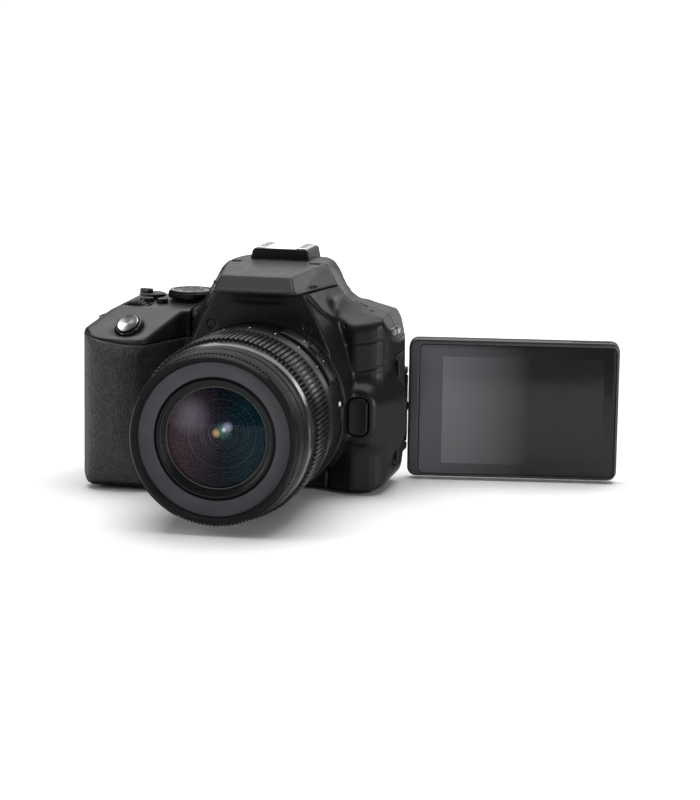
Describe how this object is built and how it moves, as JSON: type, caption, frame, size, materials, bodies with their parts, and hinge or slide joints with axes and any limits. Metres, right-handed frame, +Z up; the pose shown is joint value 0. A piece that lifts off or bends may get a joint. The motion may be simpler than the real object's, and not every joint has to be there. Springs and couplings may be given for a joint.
{
  "type": "dslr camera",
  "caption": "Digital single-lens reflex camera with a zoom lens, a raised grip, a pop-up flash, an accessory shoe and a rear screen that swings out and turns.",
  "frame": {"origin": "middle of the tripod socket's mouth in the flat base, under the image sensor", "axes": "+Z up, -Y along the lens towards the subject, +X towards the side the screen opens to (the subject's right when facing the lens)"},
  "size_m": [0.2031, 0.1406, 0.0926],
  "materials": {
    "body_plastic": "fine satin grain",
    "top_plastic": "fine satin grain",
    "grip_rubber": "leather-grained rubber",
    "soft_rubber": "smooth rubber",
    "gloss_black": "polished black",
    "button_plastic": "satin",
    "brushed_cap": "spun metal",
    "bright_metal": "bright plated",
    "steel": "plain",
    "brass": "plain",
    "glass": "coated",
    "display": "glossy display",
    "clear": "ribbed",
    "lens_plastic": "satin",
    "name_plastic": "satin dark grey",
    "board": "solder mask",
    "battery_case": "plain",
    "card_case": "plain",
    "silvered": "mirror",
    "chassis": "flocked black"
  },
  "bodies": {
    "camera_body": {"front_cover": "body_plastic", "rear_cover": "body_plastic", "top_cover": "top_plastic", "bottom_cover": "body_plastic", "grip_rubber": "grip_rubber", "thumb_rest": "grip_rubber", "strap_lugs": "steel", "battery": "battery_case", "memory_card": "card_case", "tripod_socket": "brass", "mirror_box": "chassis", "pentamirror": "chassis", "shutter_unit": "chassis", "image_sensor": "display", "main_board": "board", "eyepiece": "glass", "eyecup": "soft_rubber", "hot_shoe_base": "chassis", "hot_shoe": "bright_metal", "flash_pin": "steel", "mount_ring": "bright_metal", "mount_screws": "steel", "hinge_bracket": "body_plastic", "lens_bayonet": "bright_metal", "lens_barrel": "lens_plastic", "rear_glass": "glass"},
    "terminal_flap": {"terminal_cover": "soft_rubber"},
    "battery_lid": {"battery_door": "body_plastic"},
    "lid_catch": {"battery_latch": "button_plastic"},
    "reflex_mirror": {"mirror": "silvered"},
    "diopter_wheel": {"diopter_dial": "button_plastic"},
    "flash": {"flash_head": "top_plastic", "flash_window": "clear"},
    "shutter_key": {"shutter_button": "brushed_cap"},
    "dial": {"main_dial": "button_plastic"},
    "mode_wheel": {"mode_dial": "button_plastic"},
    "power_switch": {"power_lever": "button_plastic"},
    "pad": {"cross_pad": "button_plastic"},
    "set_key": {"set_button": "button_plastic"},
    "release_key": {"lens_release": "button_plastic"},
    "lock": {"lock_pin": "steel"},
    "hinge": {"hinge_barrel": "button_plastic"},
    "screen": {"screen_frame": "gloss_black", "screen_back": "body_plastic", "screen_glass": "display"},
    "focus_selector": {"focus_switch": "button_plastic"},
    "zoom": {"zoom_ring": "soft_rubber"},
    "extension": {"inner_barrel": "lens_plastic"},
    "front_group": {"focus_ring": "lens_plastic", "name_ring": "name_plastic", "front_glass": "glass"},
    "menu_key": {"menu_button": "button_plastic"},
    "info_key": {"info_button": "button_plastic"},
    "live_view_key": {"live_view_button": "button_plastic"},
    "playback_key": {"playback_button": "button_plastic"},
    "erase_key": {"erase_button": "button_plastic"},
    "lock_key": {"lock_button": "button_plastic"},
    "focus_point_key": {"focus_point_button": "button_plastic"},
    "iso_key": {"iso_button": "button_plastic"},
    "display_btn_key": {"display_button": "button_plastic"}
  },
  "joints": [
    {"name": "screen_swing", "type": "hinge", "parent": "camera_body", "child": "hinge", "pos_m": [0.0455, 0.0122, 0.02875], "axis": [0, 0, 1], "range_deg": [0, 172]},
    {"name": "screen_tilt", "type": "hinge", "parent": "hinge", "child": "screen", "pos_m": [0.0455, 0.0122, 0.02875], "axis": [0.9903, 0.1392, 0], "range_deg": [-270, 0]},
    {"name": "flash_lift", "type": "hinge", "parent": "camera_body", "child": "flash", "pos_m": [0, -0.015, 0.0864], "axis": [-1, 0, 0], "range_deg": [0, 70]},
    {"name": "mode_turn", "type": "hinge", "parent": "camera_body", "child": "mode_wheel", "pos_m": [-0.0365, -0.004, 0.072], "axis": [0, 0, 1], "continuous": true},
    {"name": "power_turn", "type": "hinge", "parent": "camera_body", "child": "power_switch", "pos_m": [-0.053, -0.0036, 0.072], "axis": [0, 0, -1], "range_deg": [0, 50]},
    {"name": "main_dial_turn", "type": "hinge", "parent": "camera_body", "child": "dial", "pos_m": [-0.0551, -0.019, 0.0634], "axis": [0, 1, 0], "continuous": true},
    {"name": "diopter_turn", "type": "hinge", "parent": "camera_body", "child": "diopter_wheel", "pos_m": [0.0228, 0.0066, 0.077], "axis": [1, 0, 0], "range_deg": [-120, 120]},
    {"name": "terminal_swing", "type": "hinge", "parent": "camera_body", "child": "terminal_flap", "pos_m": [0.0499, -0.0182, 0.032], "axis": [0, 0, -1], "range_deg": [0, 100]},
    {"name": "battery_lid_swing", "type": "hinge", "parent": "camera_body", "child": "battery_lid", "pos_m": [-0.0642, -0.02, 0.0015], "axis": [0, 1, 0], "range_deg": [0, 95]},
    {"name": "lid_catch_slide", "type": "slide", "parent": "battery_lid", "child": "lid_catch", "axis": [1, 0, 0], "range_m": [0, 0.0012]},
    {"name": "mirror_flip", "type": "hinge", "parent": "camera_body", "child": "reflex_mirror", "pos_m": [0, -0.0106, 0.049], "axis": [-1, 0, 0], "range_deg": [0, 45]},
    {"name": "zoom_turn", "type": "hinge", "parent": "camera_body", "child": "zoom", "pos_m": [0, -0.08, 0.03465], "axis": [0, -1, 0], "range_deg": [0, 70]},
    {"name": "zoom_extend", "type": "slide", "parent": "camera_body", "child": "extension", "axis": [0, -1, 0], "range_m": [0, 0.018]},
    {"name": "focus_turn", "type": "hinge", "parent": "extension", "child": "front_group", "pos_m": [0, -0.108, 0.03465], "axis": [0, -1, 0], "range_deg": [0, 90]},
    {"name": "focus_select", "type": "slide", "parent": "camera_body", "child": "focus_selector", "axis": [0, 1, 0], "range_m": [0, 0.0025]},
    {"name": "shutter_press", "type": "slide", "parent": "camera_body", "child": "shutter_key", "axis": [0.2001, 0.6302, -0.7502], "range_m": [0, 0.0012], "stiffness_N_per_m": 250, "springref_m": -0.001},
    {"name": "pad_press", "type": "slide", "parent": "camera_body", "child": "pad", "axis": [0, -1, 0], "range_m": [0, 0.0004], "stiffness_N_per_m": 250, "springref_m": -0.001},
    {"name": "set_press", "type": "slide", "parent": "camera_body", "child": "set_key", "axis": [0, -1, 0], "range_m": [0, 0.0006], "stiffness_N_per_m": 250, "springref_m": -0.001},
    {"name": "menu_press", "type": "slide", "parent": "camera_body", "child": "menu_key", "axis": [0, -1, 0], "range_m": [0, 0.0005], "stiffness_N_per_m": 250, "springref_m": -0.001},
    {"name": "info_press", "type": "slide", "parent": "camera_body", "child": "info_key", "axis": [0, -1, 0], "range_m": [0, 0.0005], "stiffness_N_per_m": 250, "springref_m": -0.001},
    {"name": "live_view_press", "type": "slide", "parent": "camera_body", "child": "live_view_key", "axis": [0, -1, 0], "range_m": [0, 0.0005], "stiffness_N_per_m": 250, "springref_m": -0.001},
    {"name": "playback_press", "type": "slide", "parent": "camera_body", "child": "playback_key", "axis": [0, -1, 0], "range_m": [0, 0.0005], "stiffness_N_per_m": 250, "springref_m": -0.001},
    {"name": "erase_press", "type": "slide", "parent": "camera_body", "child": "erase_key", "axis": [0, -1, 0], "range_m": [0, 0.0005], "stiffness_N_per_m": 250, "springref_m": -0.001},
    {"name": "lock_press", "type": "slide", "parent": "camera_body", "child": "lock_key", "axis": [0, -1, 0], "range_m": [0, 0.0005], "stiffness_N_per_m": 250, "springref_m": -0.001},
    {"name": "focus_point_press", "type": "slide", "parent": "camera_body", "child": "focus_point_key", "axis": [0, -1, 0], "range_m": [0, 0.0005], "stiffness_N_per_m": 250, "springref_m": -0.001},
    {"name": "iso_press", "type": "slide", "parent": "camera_body", "child": "iso_key", "axis": [0, 0, -1], "range_m": [0, 0.0005], "stiffness_N_per_m": 250, "springref_m": -0.001},
    {"name": "display_btn_press", "type": "slide", "parent": "camera_body", "child": "display_btn_key", "axis": [0, 0, -1], "range_m": [0, 0.0005], "stiffness_N_per_m": 250, "springref_m": -0.001},
    {"name": "release_press", "type": "slide", "parent": "camera_body", "child": "release_key", "axis": [0, 1, 0], "range_m": [0, 0.0015], "stiffness_N_per_m": 300, "springref_m": -0.001},
    {"name": "lock_retract", "type": "slide", "parent": "camera_body", "child": "lock", "axis": [0, 1, 0], "range_m": [0, 0.0015]}
  ],
  "couplings": [
    {"joint": "zoom_extend", "follows": "zoom_turn", "m_per_rad": 0.014733},
    {"joint": "lock_retract", "follows": "release_press", "ratio": 1}
  ]
}
